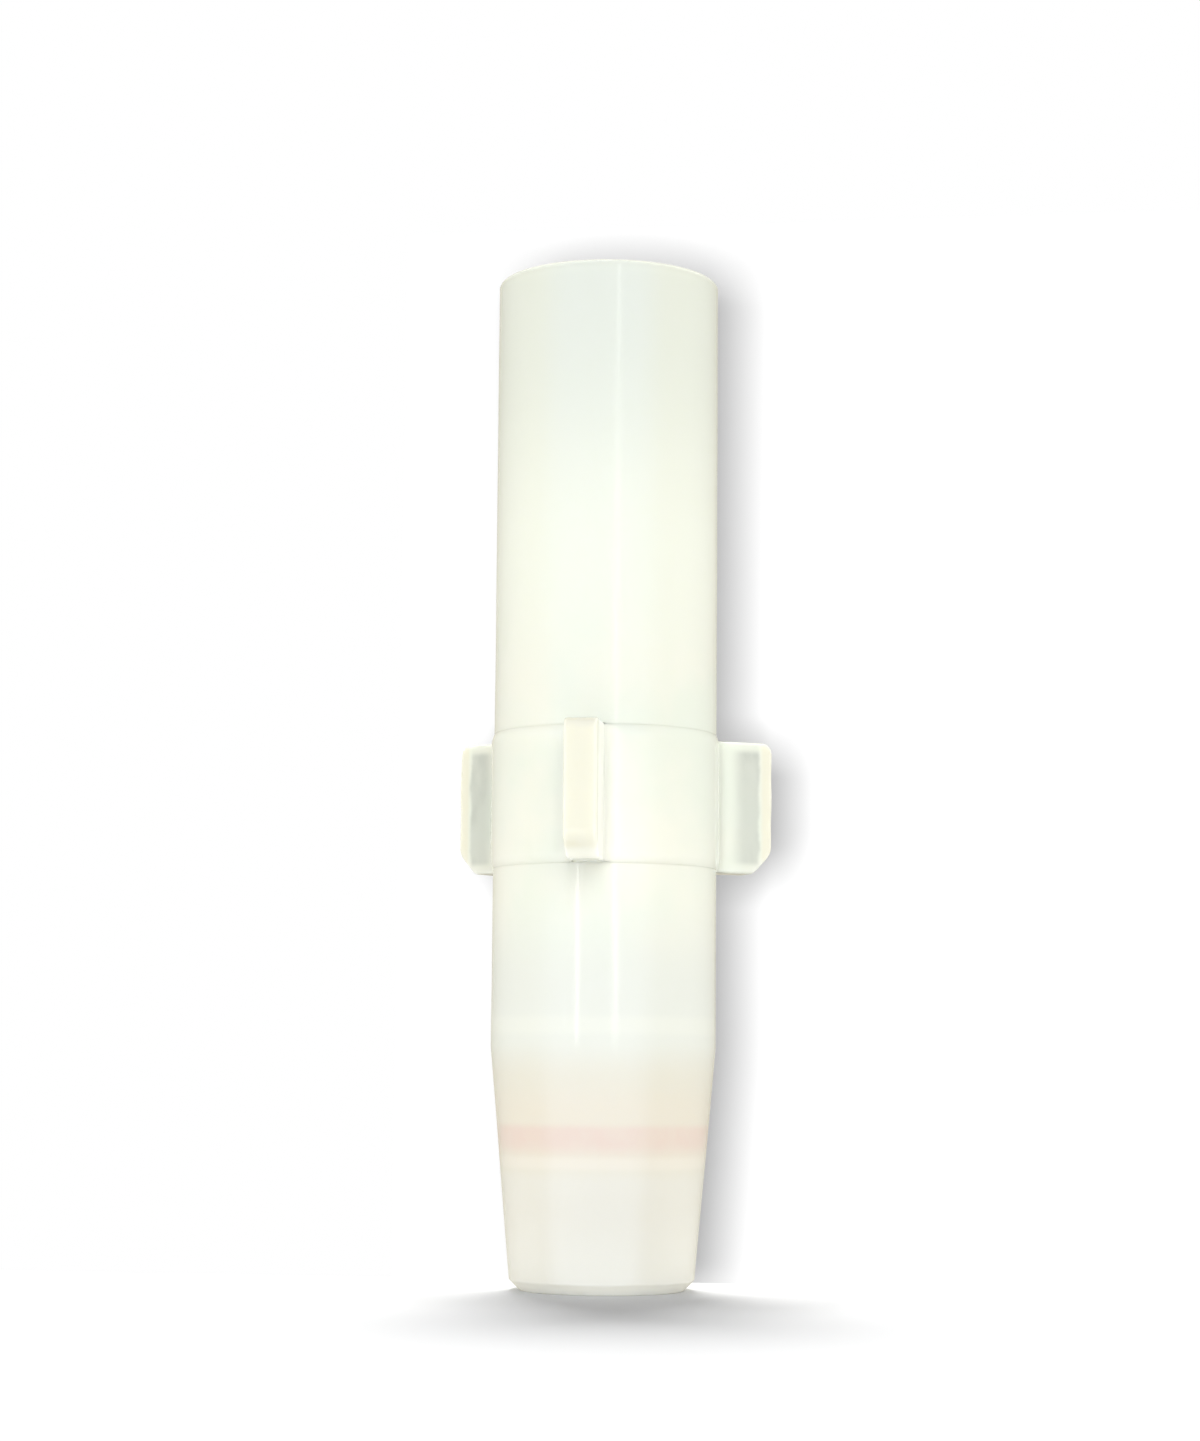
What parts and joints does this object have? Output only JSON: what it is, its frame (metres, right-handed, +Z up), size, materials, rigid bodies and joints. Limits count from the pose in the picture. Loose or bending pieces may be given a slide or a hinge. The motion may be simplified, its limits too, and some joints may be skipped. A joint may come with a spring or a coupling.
{
  "type": "saliva ejector tip",
  "caption": "Translucent winged suction tip: plain round barrel, raised collar with wings, and a tapered nose whose soft inner ring grips a slim ejector tube.",
  "frame": {"origin": "centre of the nose end face, on the axis of the ejector socket", "axes": "+Z up the axis to the open end of the barrel, -Y along one wing"},
  "size_m": [0.0232, 0.0209, 0.0725],
  "materials": {
    "milky_plastic": "milky, faintly translucent moulded polypropylene with a soft gloss",
    "ring_rubber": "satin pinkish-red silicone",
    "retainer_plastic": "milky, faintly translucent moulded plastic, slightly cooler than the body"
  },
  "bodies": {
    "root": {"tip_body": "milky_plastic", "seal_ring": "ring_rubber", "ring_retainer": "retainer_plastic"}
  },
  "joints": []
}
